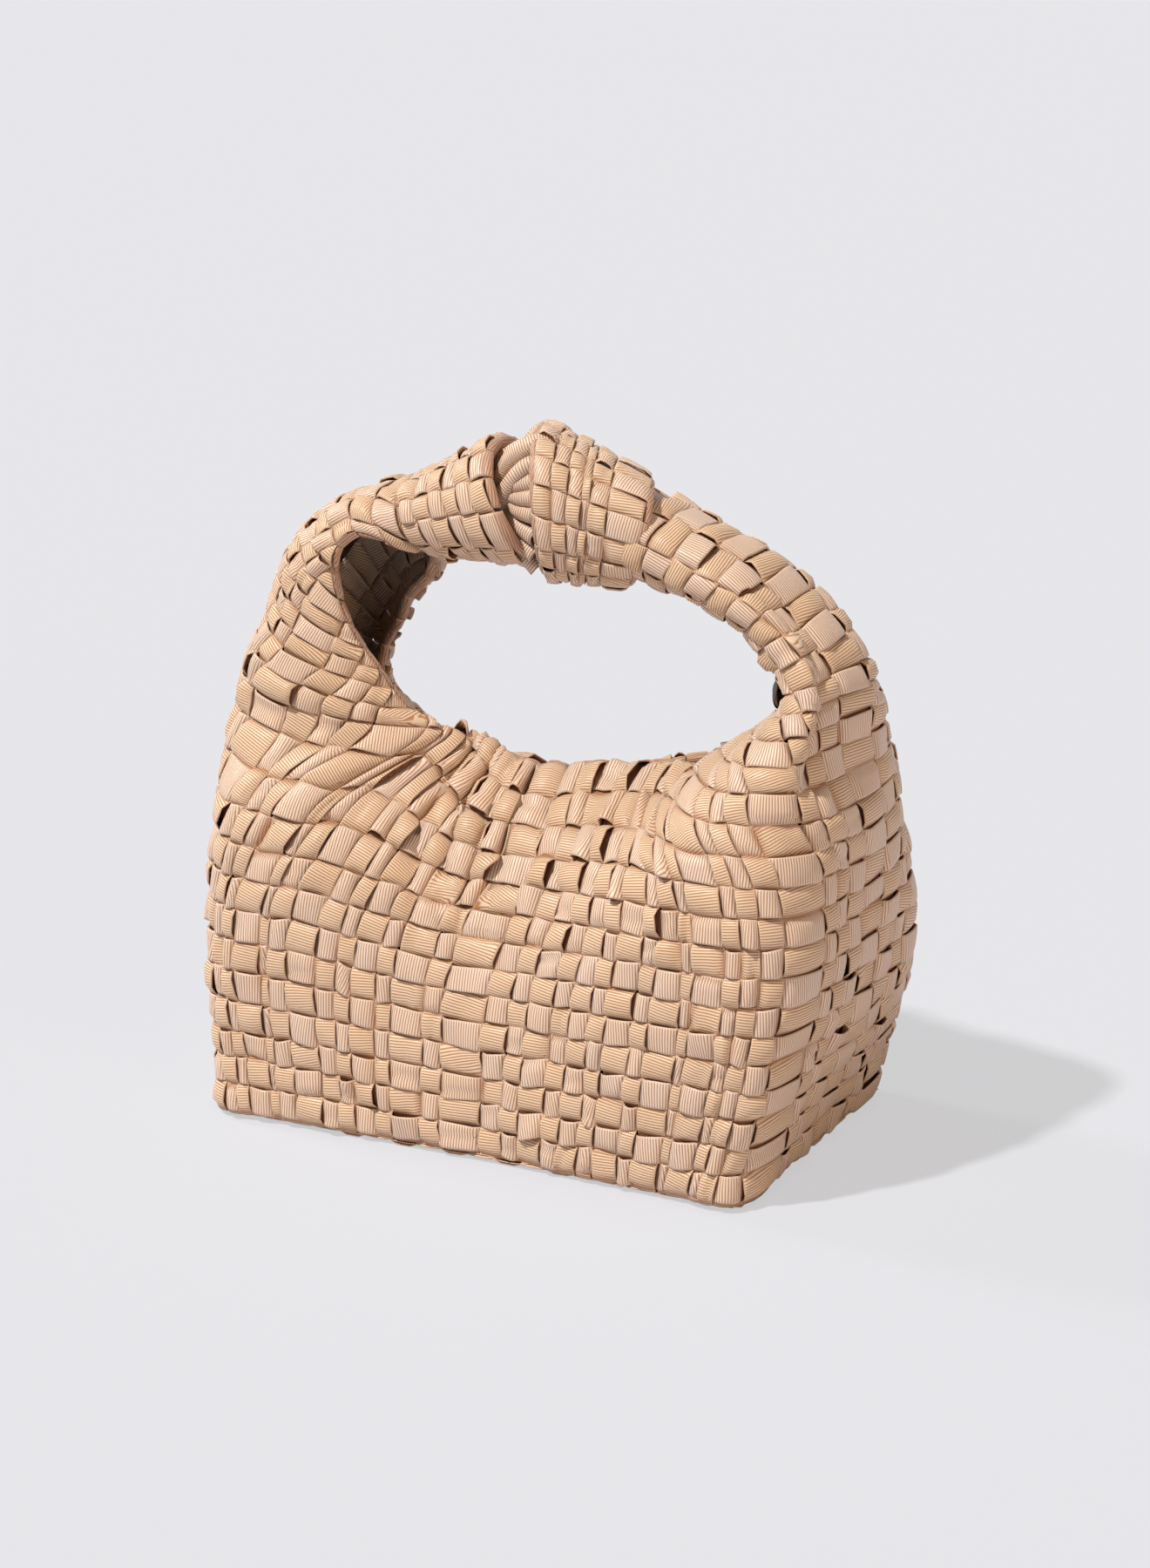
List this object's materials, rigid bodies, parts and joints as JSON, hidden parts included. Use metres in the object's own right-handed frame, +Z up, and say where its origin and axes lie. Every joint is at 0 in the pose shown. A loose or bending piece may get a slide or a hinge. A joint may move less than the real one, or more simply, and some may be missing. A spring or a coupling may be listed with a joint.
{
  "type": "handwoven ribbon handbag",
  "caption": "Small boxy handbag woven from grosgrain ribbon, with a rolled top handle tied in a knot and a magnetic snap at the handle roots.",
  "frame": {"origin": "centre of the base's underside, on the surface that the bag stands on", "axes": "+Z up, -Y the front panel, +X the side with the bare arm of the knot"},
  "size_m": [0.2432, 0.132, 0.248],
  "materials": {
    "ribbon": "grosgrain ribbon in peach and camel, plain weave, ribbed, low sheen",
    "lining": "dark brown woven twill lining, matte",
    "board": "stiff pressed board, matte",
    "padding": "soft cotton wadding",
    "gunmetal": "dark gunmetal plate, satin"
  },
  "bodies": {
    "bag": {"woven_base": "ribbon", "base_board": "board", "lining_base": "lining", "woven_left_side": "ribbon", "lining_left_side": "lining", "woven_right_side": "ribbon", "lining_right_side": "lining", "woven_front_panel": "ribbon", "lining_front_panel": "lining", "front_rim_binding": "ribbon", "woven_back_panel": "ribbon", "lining_back_panel": "lining", "back_rim_binding": "ribbon"},
    "handle": {"left_handle_arm": "ribbon", "left_arm_lining": "lining", "left_arm_padding": "padding", "right_handle_arm": "ribbon", "right_arm_lining": "lining", "right_arm_padding": "padding", "handle_knot": "ribbon", "snap_stud": "gunmetal", "snap_stud_washer": "gunmetal", "snap_socket": "gunmetal"}
  },
  "joints": [
    {"name": "handle_tilt", "type": "hinge", "parent": "bag", "child": "handle", "pos_m": [0, 0, 0.172], "axis": [1, 0, 0], "range_deg": [-30, 30], "stiffness_Nm_per_rad": 0.2}
  ]
}
